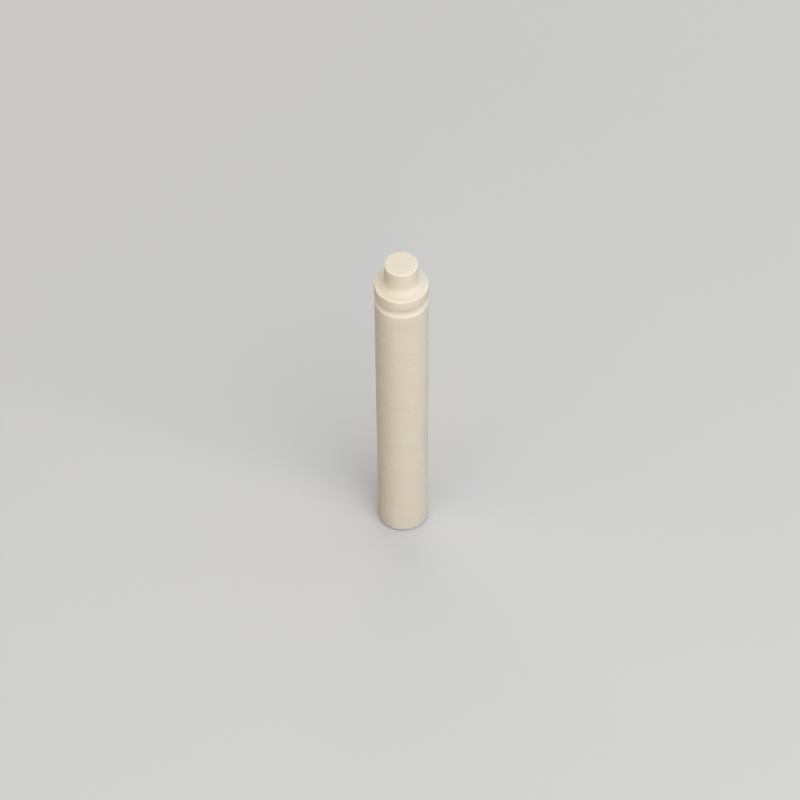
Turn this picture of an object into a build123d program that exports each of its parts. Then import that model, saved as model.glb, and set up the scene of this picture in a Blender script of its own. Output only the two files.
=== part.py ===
"""Ceramic locating pin: a ground shank with a reduced spigot on top and a round groove under its shoulder.

The pin is one fired and ground piece, round about its axis, and stands on its foot.
Z = 0 is the foot's flat face, and +Z runs along the axis to the tip. All sizes are in millimetres.
"""

from build123d import *
import math
import os

# Shank: the long ground cylinder that a holder's bore grips
shank_diameter = 8.0
shank_length = 53.0
foot_edge_radius = 0.6

# Spigot: the short reduced end that enters the located hole
spigot_diameter = 5.0
spigot_length = 4.0
tip_edge_radius = 0.1

# Shoulder: the step round the spigot, a wide root fillet that runs out into a narrow flat seat
root_fillet = 1.2
seat_width = 0.2
rim_edge_radius = 0.1

# Groove: ground into the shank below a short collar, with the round section of the wheel that cut it
collar_height = 1.9
groove_radius = 0.7
groove_depth = 0.5
groove_mouth_radius = 0.1

shank_radius = shank_diameter / 2
spigot_radius = spigot_diameter / 2
overall_length = shank_length + spigot_length

# The root fillet gives way to the seat where the step is narrow
shoulder_width = shank_radius - spigot_radius
root_radius = min(root_fillet, shoulder_width - rim_edge_radius - seat_width)

# The groove's section is part of a circle whose centre lies just outside the shank
groove_axis_radius = shank_radius - groove_depth + groove_radius
groove_half_width = math.sqrt(groove_radius**2 - (groove_radius - groove_depth) ** 2)
groove_top = shank_length - collar_height
groove_centre = groove_top - groove_half_width
groove_bottom = groove_centre - groove_half_width


def ring_edges(part, radius, height):
    """The part's round edges of one radius at one height."""
    near = 1e-4
    at_height = part.edges().filter_by(GeomType.CIRCLE).filter_by_position(Axis.Z, height - near, height + near)
    return at_height.filter_by(lambda edge: abs(edge.radius - radius) < near)


with BuildPart() as locating_pin:
    # The stepped blank: half of its lengthwise section, turned about the axis
    with BuildSketch(Plane.XZ) as blank_section:
        with BuildLine():
            Polyline(
                (0, 0),
                (shank_radius, 0),
                (shank_radius, shank_length),
                (spigot_radius, shank_length),
                (spigot_radius, overall_length),
                (0, overall_length),
                close=True,
            )
        make_face()
    revolve(axis=Axis.Z)

    # The groove: the wheel's round section, turned about the same axis
    with BuildSketch(Plane.XZ) as groove_section:
        with Locations((groove_axis_radius, groove_centre)):
            Circle(groove_radius)
    revolve(axis=Axis.Z, mode=Mode.SUBTRACT)

    # The edges, each with its own radius: root, tip, rim, the groove's mouth and the foot
    fillet(ring_edges(locating_pin, spigot_radius, shank_length), root_radius)
    fillet(ring_edges(locating_pin, spigot_radius, overall_length), tip_edge_radius)
    fillet(ring_edges(locating_pin, shank_radius, shank_length), rim_edge_radius)
    fillet(ring_edges(locating_pin, shank_radius, groove_top), groove_mouth_radius)
    fillet(ring_edges(locating_pin, shank_radius, groove_bottom), groove_mouth_radius)
    fillet(ring_edges(locating_pin, shank_radius, 0), foot_edge_radius)

locating_pin.part.label = "locating_pin"

os.makedirs("parts", exist_ok=True)
export_step(locating_pin.part, "parts/locating_pin.step")

volume = locating_pin.part.volume
groove_width = 2 * groove_half_width
print(f"locating_pin: {overall_length} mm long, {volume:.1f} mm3, groove {groove_width:.2f} mm wide")
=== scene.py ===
# %% [markdown]
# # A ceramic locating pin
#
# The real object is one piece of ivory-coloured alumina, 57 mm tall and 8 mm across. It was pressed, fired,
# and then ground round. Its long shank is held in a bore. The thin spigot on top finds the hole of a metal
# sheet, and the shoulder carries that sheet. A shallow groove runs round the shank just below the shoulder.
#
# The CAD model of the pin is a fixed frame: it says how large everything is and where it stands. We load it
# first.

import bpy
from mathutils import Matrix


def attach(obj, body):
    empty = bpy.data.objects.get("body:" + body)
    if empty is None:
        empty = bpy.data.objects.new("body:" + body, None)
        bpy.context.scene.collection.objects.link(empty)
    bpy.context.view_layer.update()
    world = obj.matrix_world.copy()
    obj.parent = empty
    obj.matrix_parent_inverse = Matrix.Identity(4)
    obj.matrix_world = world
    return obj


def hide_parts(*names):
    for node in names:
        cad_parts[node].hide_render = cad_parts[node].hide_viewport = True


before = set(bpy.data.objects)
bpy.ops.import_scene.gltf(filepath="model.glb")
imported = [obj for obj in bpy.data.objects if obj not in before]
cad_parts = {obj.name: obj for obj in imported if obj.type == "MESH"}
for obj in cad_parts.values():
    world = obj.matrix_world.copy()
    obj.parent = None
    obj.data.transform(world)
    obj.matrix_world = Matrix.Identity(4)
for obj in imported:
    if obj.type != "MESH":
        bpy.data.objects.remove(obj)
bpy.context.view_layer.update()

# %% [markdown]
# ## The camera
#
# The photograph looks down on the pin from the front, at not quite half a right angle, through a long lens.
# A camera needs four facts: where it aims, how far away it is, how steeply it looks down, and how long its
# lens is. They were fitted to the pin's outline in the photograph. We turn the camera about its side axis for
# the steepness, and then about its own view axis for the small tilt of one that was not held quite level.

# %% Place the camera
import math

import bpy
from mathutils import Matrix, Vector

MM = 0.001  # Blender works in metres here, and the pin's sizes are in millimetres

aim_point = Vector((-0.33, 0.0, 27.41)) * MM
camera_distance = 362.9 * MM
camera_elevation = math.radians(48.23)
camera_tilt = math.radians(-0.48)
lens_length, sensor_width = 106.05, 36.0  # millimetres, as on a camera
nearest_seen, farthest_seen = 0.01, 20.0  # metres

towards_camera = Vector((0, -math.cos(camera_elevation), math.sin(camera_elevation)))
camera_data = bpy.data.cameras.new("photo_camera")
camera_data.lens = lens_length
camera_data.sensor_width = sensor_width
camera_data.clip_start = nearest_seen
camera_data.clip_end = farthest_seen
camera = bpy.data.objects.new("photo_camera", camera_data)
camera.matrix_world = (
    Matrix.Translation(aim_point + towards_camera * camera_distance)
    @ Matrix.Rotation(math.pi / 2 - camera_elevation, 4, "X")
    @ Matrix.Rotation(camera_tilt, 4, "Z")
)
bpy.context.scene.collection.objects.link(camera)
bpy.context.scene.camera = camera
print("camera stands at", [round(value, 4) for value in camera.matrix_world.translation])

# %% [markdown]
# ## The outline of the pin
#
# A turned or ground part is round about its axis, so one half of its lengthwise section says everything. We
# could revolve it with Blender's Screw modifier, but then we could not shape the surface point by point.
# Instead we work out the outline as numbers: straight runs and arcs of circles, in millimetres, each point
# as (distance from the axis, height).

# %% Helpers for the outline
import numpy as np


def straight(start, stop, points):
    """Even points on a line: start plus a growing share of the way to stop."""
    share = np.linspace(0, 1, points)[:, None]
    return np.array(start) + share * (np.array(stop) - np.array(start))


def arc(centre, radius, first, last, points):
    """Even points on a circle: centre plus radius times (cosine, sine) of an angle, in degrees."""
    angle = np.radians(np.linspace(first, last, points))
    return np.array(centre) + radius * np.stack([np.cos(angle), np.sin(angle)], axis=1)


# %% [markdown]
# These are the sizes that the CAD model has too. The groove was cut by a wheel with a round edge, so its
# section is part of a circle. The small arcs at its mouth touch both that circle and the shank's wall, and
# Pythagoras gives the height of their centres.

# %% Sizes of the pin
shank_radius = 4.0
shank_length = 53.0
foot_edge = 0.6
spigot_radius = 2.5
tip_height = 57.0
tip_edge = 0.1
root_fillet = 1.2
rim_edge = 0.1
collar_height = 1.9
wheel_radius = 0.7
groove_depth = 0.5
mouth_edge = 0.1

wheel_centre = shank_radius - groove_depth + wheel_radius
groove_half = math.sqrt(wheel_radius**2 - (wheel_radius - groove_depth) ** 2)
groove_middle = shank_length - collar_height - groove_half
mouth_centre = shank_radius - mouth_edge
mouth_rise = math.sqrt((wheel_radius + mouth_edge) ** 2 - (wheel_centre - mouth_centre) ** 2)
mouth_angle = math.degrees(math.atan2(mouth_rise, wheel_centre - mouth_centre))
print(f"groove: {2 * groove_half:.2f} mm wide, its middle {groove_middle:.2f} mm up")

# %% [markdown]
# The last number of each run or arc is how many points it gets. Arcs that catch the light get many, and the
# long plain shank gets few. Angles count anticlockwise from the direction that points away from the axis.

# %% Join the runs and arcs, from the middle of the foot to the middle of the tip
outline_parts = [
    straight((0, 0), (shank_radius - foot_edge, 0), 12),
    arc((shank_radius - foot_edge, foot_edge), foot_edge, -90, 0, 20),
    straight((shank_radius, foot_edge), (shank_radius, groove_middle - mouth_rise), 66),
    arc((mouth_centre, groove_middle - mouth_rise), mouth_edge, 0, mouth_angle, 6),
    arc((wheel_centre, groove_middle), wheel_radius, 180 + mouth_angle, 180 - mouth_angle, 22),
    arc((mouth_centre, groove_middle + mouth_rise), mouth_edge, -mouth_angle, 0, 6),
    straight((shank_radius, groove_middle + mouth_rise), (shank_radius, shank_length - rim_edge), 8),
    arc((shank_radius - rim_edge, shank_length - rim_edge), rim_edge, 0, 90, 12),
    arc((spigot_radius + root_fillet, shank_length + root_fillet), root_fillet, 270, 180, 26),
    straight((spigot_radius, shank_length + root_fillet), (spigot_radius, tip_height - tip_edge), 10),
    arc((spigot_radius - tip_edge, tip_height - tip_edge), tip_edge, 0, 90, 12),
    straight((spigot_radius - tip_edge, tip_height), (0, tip_height), 14),
]
outline = np.concatenate(outline_parts)
# Two neighbouring parts share a point, which is kept once
same_point = 1e-6
step_length = np.linalg.norm(np.diff(outline, axis=0), axis=1)
outline = outline[np.concatenate([[True], step_length > same_point])]
print("outline has", len(outline), "points, from", outline[0], "to", outline[-1])

# %% [markdown]
# ## Turn the outline into a surface
#
# The pin's surface is a function of two parameters: how far along the outline we are, and the angle about
# the axis. We compute the whole grid at once. The two ends of the outline lie on the axis, where a full ring
# of points would fall together, so each end is a single point with a fan of triangles.
#
# A fired and ground pin is never perfect. Its edges were broken by hand, so they dip by a few hundredths of
# a millimetre here and there. We press such dips in along the surface's own direction, and only inwards, so
# that the pin never grows.

# %% The grid of the surface
turn_steps = 360
distance_along = np.concatenate([[0], np.cumsum(np.linalg.norm(np.diff(outline, axis=0), axis=1))])
ring_radius, ring_height = outline[1:-1, 0], outline[1:-1, 1]
ring_along = distance_along[1:-1]
turn_angle = np.arange(turn_steps) * 2 * math.pi / turn_steps

outline_direction = np.gradient(outline, distance_along, axis=0)
outline_direction /= np.linalg.norm(outline_direction, axis=1)[:, None]
ring_outward = np.stack([outline_direction[1:-1, 1], -outline_direction[1:-1, 0]], axis=1)
print("surface grid:", len(ring_radius), "rings of", turn_steps, "points")

# %% Small dips in the edges
dip_random = np.random.default_rng(7)


def edge_dips(edge_along, count, length, width, depth):
    """Dips spread round one edge: each is a bell curve of the distance along the outline from the edge, times
    a bell curve of the distance round the pin from the dip's own place. The deepest dip at a point counts.
    All lengths are in millimetres. Small dips are many and big ones few, because the sizes are squared."""
    radius = np.interp(edge_along, distance_along, outline[:, 0])
    place = dip_random.uniform(0, 2 * math.pi, count)
    size = dip_random.uniform(0.35, 1.0, count) ** 2
    offset = (turn_angle[None, :] - place[:, None] + math.pi) % (2 * math.pi) - math.pi
    dip_length = length * (0.4 + size[:, None])
    round_pin = np.exp(-((offset * radius / dip_length) ** 2))
    strength = (size[:, None] * round_pin).max(axis=0)
    across = np.exp(-(((ring_along - edge_along) / width) ** 2))
    return depth * across[:, None] * strength[None, :]


def along_at(radius, height):
    """The distance along the outline of the outline's point nearest to (radius, height)."""
    return distance_along[np.argmin(np.hypot(outline[:, 0] - radius, outline[:, 1] - height))]


tip_at = along_at(spigot_radius, tip_height)
rim_at = along_at(shank_radius, shank_length)
groove_top_at = along_at(shank_radius, groove_middle + groove_half)
groove_foot_at = along_at(shank_radius, groove_middle - groove_half)
foot_at = along_at(shank_radius, 0)
dips = edge_dips(tip_at, count=34, length=0.22, width=0.12, depth=0.03)
dips += edge_dips(rim_at, count=46, length=0.25, width=0.12, depth=0.03)
dips += edge_dips(groove_top_at, count=30, length=0.2, width=0.08, depth=0.02)
dips += edge_dips(groove_foot_at, count=30, length=0.2, width=0.08, depth=0.02)
dips += edge_dips(foot_at, count=24, length=0.5, width=0.3, depth=0.03)
print(f"edges dip by {dips.max():.3f} mm at most")

# %% Rings of points, turned about the axis
turned_radius = ring_radius[:, None] - dips * ring_outward[:, :1]
turned_height = ring_height[:, None] - dips * ring_outward[:, 1:]
points = np.stack(
    [
        turned_radius * np.cos(turn_angle),
        turned_radius * np.sin(turn_angle),
        np.broadcast_to(turned_height, turned_radius.shape),
    ],
    axis=-1,
)
foot_pole, tip_pole = [0, 0, outline[0, 1]], [0, 0, outline[-1, 1]]
vertices = np.concatenate([[foot_pole], points.reshape(-1, 3), [tip_pole]]) * MM

# %% [markdown]
# Each face lists its corners anticlockwise, as seen from outside, and then its normal points outwards. The
# last point of a ring is followed by its first, so the surface closes without a seam.

# %% Faces between the rings, and the two fans
ring_start = 1 + np.arange(len(ring_radius))[:, None] * turn_steps
here = np.arange(turn_steps)
after = (here + 1) % turn_steps
lower, upper = ring_start[:-1], ring_start[1:]
quads = np.stack([lower + here, lower + after, upper + after, upper + here], axis=-1).reshape(-1, 4)
foot_fan = np.stack([np.zeros_like(here), 1 + after, 1 + here], axis=-1)
last_ring, tip_index = ring_start[-1, 0], len(vertices) - 1
tip_fan = np.stack([np.full_like(here, tip_index), last_ring + here, last_ring + after], axis=-1)
print(len(quads), "quads and", len(foot_fan) + len(tip_fan), "triangles")

# %% [markdown]
# A mesh wants flat arrays: all coordinates in a row, the corners of all faces in a row, and the place in that
# row where each face starts. foreach_set copies a whole array at once, far quicker than a loop could.

# %% Put the arrays into a mesh
pin_mesh = bpy.data.meshes.new("alumina_pin")
corners = np.concatenate([quads.ravel(), foot_fan.ravel(), tip_fan.ravel()]).astype(np.int32)
corner_counts = np.array([4] * len(quads) + [3] * (len(foot_fan) + len(tip_fan)), dtype=np.int32)
face_starts = np.concatenate([[0], np.cumsum(corner_counts)[:-1]]).astype(np.int32)
pin_mesh.vertices.add(len(vertices))
pin_mesh.vertices.foreach_set("co", vertices.astype(np.float32).ravel())
pin_mesh.loops.add(len(corners))
pin_mesh.loops.foreach_set("vertex_index", corners)
pin_mesh.polygons.add(len(corner_counts))
pin_mesh.polygons.foreach_set("loop_start", face_starts)
pin_mesh.update(calc_edges=True)
pin_mesh.polygons.foreach_set("use_smooth", np.ones(len(corner_counts), dtype=bool))
pin_mesh.validate()
alumina_pin = bpy.data.objects.new("alumina_pin", pin_mesh)
bpy.context.scene.collection.objects.link(alumina_pin)
print("mesh:", len(pin_mesh.vertices), "points,", len(pin_mesh.polygons), "faces")

# %% [markdown]
# ## Where the wheel ran
#
# The grinding marks run round the pin: rings on the walls, and circles on the flat ends. A pattern that
# knows only x, y and z cannot tell a wall from an end. The distance along the outline can, because it grows
# up the walls and across the ends alike. We store it on the mesh as an attribute, in millimetres.

# %% Store the distance along the outline
along_values = np.concatenate([[0], np.repeat(ring_along, turn_steps), [distance_along[-1]]])
along_attribute = pin_mesh.attributes.new("along_mm", "FLOAT", "POINT")
along_attribute.data.foreach_set("value", along_values.astype(np.float32))
print(f"the outline is {distance_along[-1]:.1f} mm long")

# %% [markdown]
# ## The finish: fired and ground alumina
#
# Alumina like this is warm ivory. It is matt with a faint sheen, and light sinks about a millimetre into it,
# which softens each edge and corner. Close up, the colour is not quite even, and the grinding wheel has left
# fine marks round the pin. A painted picture would blur close up, so we build the finish from nodes instead.

# %% A small helper for nodes
finish = bpy.data.materials.new("ground_alumina")
finish.use_nodes = True
# The helpers below add to whichever tree these two names stand for: now the pin's, later the floor's
nodes, links = finish.node_tree.nodes, finish.node_tree.links
nodes.clear()


def node(kind, settings=None, **inputs):
    """Adds a node, with its settings, and each named input linked to a socket or set to a value."""
    made = nodes.new(kind)
    for name, value in (settings or {}).items():
        setattr(made, name, value)
    for name, value in inputs.items():
        socket = made.inputs[name.replace("_", " ")]
        if isinstance(value, bpy.types.NodeSocket):
            links.new(value, socket)
        else:
            socket.default_value = value
    return made


# %% Coordinates: the object's own, and the marks' own
place = node("ShaderNodeTexCoord").outputs["Object"]
axes = node("ShaderNodeSeparateXYZ", Vector=place).outputs
along = node("ShaderNodeAttribute", {"attribute_name": "along_mm"}).outputs["Fac"]


def scaled(value, factor):
    """A number times a factor, as a node."""
    made = node("ShaderNodeMath", {"operation": "MULTIPLY"})
    links.new(value, made.inputs[0])
    made.inputs[1].default_value = factor
    return made.outputs[0]


def marks_space(streaks, rings):
    """Coordinates for marks that run round the pin: x and y times streaks, which is slow, and the distance
    along the outline times rings, which is quick. Both factors count per millimetre."""
    return node(
        "ShaderNodeCombineXYZ",
        X=scaled(axes["X"], streaks / MM),
        Y=scaled(axes["Y"], streaks / MM),
        Z=scaled(along, rings),
    ).outputs[0]


# %% [markdown]
# Noise gives most of what we see. A large, soft one makes the fired body's cloudy colour, and a very small
# one its grain. The same noise, stretched out round the pin, looks like grinding marks: fine ones a tenth of
# a millimetre wide, and broad ones where the wheel dwelt a moment. Tiny dark specks, which a fired body often
# holds, are the middles of a Voronoi pattern's cells. The surface cuts through only a few of those.

# %% Patterns: cloudy colour, fine grain, and grinding marks
clouds = node("ShaderNodeTexNoise", Vector=place, Scale=260.0, Detail=4.0, Roughness=0.55).outputs["Fac"]
grain = node("ShaderNodeTexNoise", Vector=place, Scale=6500.0, Detail=3.0, Roughness=0.6).outputs["Fac"]
fine_marks = node(
    "ShaderNodeTexNoise", Vector=marks_space(streaks=0.35, rings=9.0), Scale=1.0, Detail=3.0, Roughness=0.65
).outputs["Fac"]
broad_marks = node(
    "ShaderNodeTexNoise", Vector=marks_space(streaks=0.12, rings=1.6), Scale=1.0, Detail=2.0, Roughness=0.5
).outputs["Fac"]
specks = node(
    "ShaderNodeTexVoronoi", {"feature": "F1"}, Vector=place, Scale=900.0, Randomness=1.0
).outputs["Distance"]


def between(value, low, high, out_low, out_high, smooth=False):
    """Carries a value from the range low to high onto the range out_low to out_high, and no further."""
    made = node("ShaderNodeMapRange", {"interpolation_type": "SMOOTHSTEP" if smooth else "LINEAR"})
    for name, number in (("From Min", low), ("From Max", high), ("To Min", out_low), ("To Max", out_high)):
        made.inputs[name].default_value = number
    links.new(value, made.inputs["Value"])
    return made.outputs["Result"]


def mixed(share, first, second):
    """One colour, turning into another as the share grows."""
    made = node("ShaderNodeMix", {"data_type": "RGBA"})
    links.new(share, made.inputs[0])
    for socket, colour in ((made.inputs[6], first), (made.inputs[7], second)):
        if isinstance(colour, bpy.types.NodeSocket):
            links.new(colour, socket)
        else:
            socket.default_value = (*colour, 1)
    return made.outputs[2]


# %% [markdown]
# Each pattern runs from 0 to 1. We say from which value to which it counts, and how large a share of the
# second colour it may then bring in.

# %% Colour: ivory that drifts a little, with a few faint specks
ivory = (0.81, 0.715, 0.60)
warm_ivory = (0.745, 0.645, 0.52)
speck_tan = (0.62, 0.50, 0.36)
colour = mixed(between(clouds, 0.35, 0.7, 0, 0.55), ivory, warm_ivory)
colour = mixed(between(fine_marks, 0.35, 0.70, 0, 0.55), colour, warm_ivory)
colour = mixed(between(broad_marks, 0.40, 0.65, 0, 0.35), colour, warm_ivory)
colour = mixed(between(specks, 0.05, 0.12, 0.45, 0, smooth=True), colour, speck_tan)

# %% Sheen and relief
smoothest, roughest = 0.52, 0.70
mark_depth, grain_depth = 0.007 * MM, 0.003 * MM
sheen_roughness = between(broad_marks, 0.3, 0.7, smoothest, roughest)
marked = node("ShaderNodeBump", Height=fine_marks, Distance=mark_depth, Strength=1.0)
relief = node("ShaderNodeBump", Height=grain, Distance=grain_depth, Strength=0.7, Normal=marked.outputs[0])

# %% [markdown]
# Light enters the ceramic and leaves it again a little way off. The Principled shader calls this subsurface
# scattering, and it is what tells alumina from paint: a sharp edge glows softly, and the groove's shadow is
# never quite dark. Red light goes a little further than blue, which warms the shadows. A ground surface
# mirrors less than a polished one, so the specular level is low.

# %% The shader itself
light_depth = 1.2 * MM
light_reach = (1.0, 0.75, 0.55)  # shares of that depth for red, green and blue
shader = node("ShaderNodeBsdfPrincipled", Roughness=sheen_roughness, Normal=relief.outputs[0])
links.new(colour, shader.inputs["Base Color"])
shader.inputs["IOR"].default_value = 1.5
shader.inputs["Specular IOR Level"].default_value = 0.35
shader.inputs["Subsurface Weight"].default_value = 1.0
shader.inputs["Subsurface Radius"].default_value = light_reach
shader.inputs["Subsurface Scale"].default_value = light_depth
node("ShaderNodeOutputMaterial", Surface=shader.outputs[0])
pin_mesh.materials.append(finish)
print("finish has", len(nodes), "nodes")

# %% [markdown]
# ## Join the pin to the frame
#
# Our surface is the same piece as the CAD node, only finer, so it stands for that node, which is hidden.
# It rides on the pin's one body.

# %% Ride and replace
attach(alumina_pin, "root")
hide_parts("locating_pin")

# %% [markdown]
# ## The floor
#
# The pin stands on a plain pale floor. A pale floor throws much light back up, which would wash out the soft
# shade on the lower side of each edge. So the camera and the reflections see the floor pale, and only the
# light that it throws back is dimmer. The Light Path node tells these apart.
#
# Near the pin the floor is lit like paper and holds the pin's shadow. Further off, where one lamp or another
# would leave a bright or a dark patch, it turns into one even pale colour, as a studio's paper sweep does.

# %% Make the floor
floor_size = 6.0
half = floor_size / 2
floor_mesh = bpy.data.meshes.new("floor")
floor_mesh.from_pydata(
    [(-half, -half, 0), (half, -half, 0), (half, half, 0), (-half, half, 0)], [], [(0, 1, 2, 3)]
)
floor = bpy.data.objects.new("floor", floor_mesh)
bpy.context.scene.collection.objects.link(floor)
print(f"floor: {floor_size} m square")

# %% Paper near the pin, and an even pale colour further off
pale = (0.64, 0.635, 0.625)
lit_paper = (0.61, 0.58, 0.575)
dim_paper = (0.02, 0.02, 0.02)
sweep_starts, sweep_full = 0.08, 0.26  # distances from the pin's axis, in metres
sweep_bounce = 0.1  # the share of the even colour that lights the pin

paper = bpy.data.materials.new("pale_paper")
paper.use_nodes = True
nodes, links = paper.node_tree.nodes, paper.node_tree.links
bounced = node("ShaderNodeLightPath").outputs["Is Diffuse Ray"]
paper_shader = nodes["Principled BSDF"]
paper_shader.inputs["Roughness"].default_value = 0.9
paper_shader.inputs["Specular IOR Level"].default_value = 0.1
links.new(mixed(bounced, lit_paper, dim_paper), paper_shader.inputs["Base Color"])

sweep = node("ShaderNodeEmission", Color=(*pale, 1), Strength=between(bounced, 0, 1, 1, sweep_bounce))
distance = node("ShaderNodeVectorMath", {"operation": "LENGTH"})
links.new(node("ShaderNodeTexCoord").outputs["Object"], distance.inputs[0])
paper_or_sweep = node("ShaderNodeMixShader")
far_off = between(distance.outputs["Value"], sweep_starts, sweep_full, 0, 1, smooth=True)
links.new(far_off, paper_or_sweep.inputs[0])
links.new(paper_shader.outputs[0], paper_or_sweep.inputs[1])
links.new(sweep.outputs[0], paper_or_sweep.inputs[2])
links.new(paper_or_sweep.outputs[0], nodes["Material Output"].inputs["Surface"])
floor_mesh.materials.append(paper)
print("floor's material has", len(nodes), "nodes")

# %% [markdown]
# ## Soft studio light
#
# The photograph was lit softly from the front and right, and by windows high up in front and behind. A warm
# and weaker light came from the left. Each lamp is a large round softbox that faces the pin. What it does for
# the pin depends on its direction, its width, and the light that arrives, so those are the values that we
# write down. One more lamp fills the back, which the photograph doesn't show, so that the pin reads well from
# every side.

# %% A softbox from its direction, width and strength
lamp_distance = 0.7


def softbox(name, azimuth, elevation, width, strength, tint):
    """A round lamp that faces the middle of the pin, and looks as many degrees wide from there as its width
    says. Azimuth 0 is the camera's side and 90 the right side. The power is strength times pi times the
    distance squared, so a lamp of the same strength lights the pin as much from any distance."""
    turn, rise = math.radians(azimuth), math.radians(elevation)
    direction = Vector(
        (math.sin(turn) * math.cos(rise), -math.cos(turn) * math.cos(rise), math.sin(rise))
    )
    data = bpy.data.lights.new(name, "AREA")
    data.shape = "DISK"
    data.size = 2 * lamp_distance * math.tan(math.radians(width / 2))
    data.energy = strength * math.pi * lamp_distance**2
    data.color = tint
    lamp = bpy.data.objects.new(name, data)
    lamp.matrix_world = Matrix.Translation(aim_point + direction * lamp_distance) @ (
        direction.to_track_quat("Z", "Y").to_matrix().to_4x4()
    )
    lamp.visible_camera = False
    bpy.context.scene.collection.objects.link(lamp)
    print(f"{name}: {data.energy:.2f} W, {data.size:.2f} m wide")


# %% Four softboxes for the view, and one for the back
# Each line gives a name, azimuth, elevation and width in degrees, a strength and a tint
plain_white = (1.0, 0.99, 0.98)
warm_white = (1.0, 0.86, 0.72)
window_white = (0.66, 0.84, 1.0)
softbox("key_right", 35, 30, 60, 2.8, plain_white)
softbox("fill_left", -60, 20, 60, 1.25, warm_white)
softbox("fill_back", 190, 15, 60, 1.5, warm_white)
softbox("window_back", 135, 65, 60, 1.03, window_white)
softbox("window_front", 0, 50, 60, 1.15, window_white)

# %% [markdown]
# The world does two things. It adds a little light from all round, as a room's walls do, and it is the
# background behind the floor's far edge. The background has the floor's pale colour, so no horizon shows.
# The Standard view transform then shows each colour as it is written.

# %% The room's own light, and a pale background
room_light = (0.20, 0.21, 0.17)
world = bpy.data.worlds.new("studio")
bpy.context.scene.world = world
world.use_nodes = True
nodes, links = world.node_tree.nodes, world.node_tree.links
bounced = node("ShaderNodeLightPath").outputs["Is Diffuse Ray"]
room = nodes["Background"]
room.inputs["Strength"].default_value = 1.0
links.new(mixed(bounced, pale, room_light), room.inputs["Color"])
print("world has", len(nodes), "nodes")

# %% Colours as they are written
bpy.context.scene.view_settings.view_transform = "Standard"
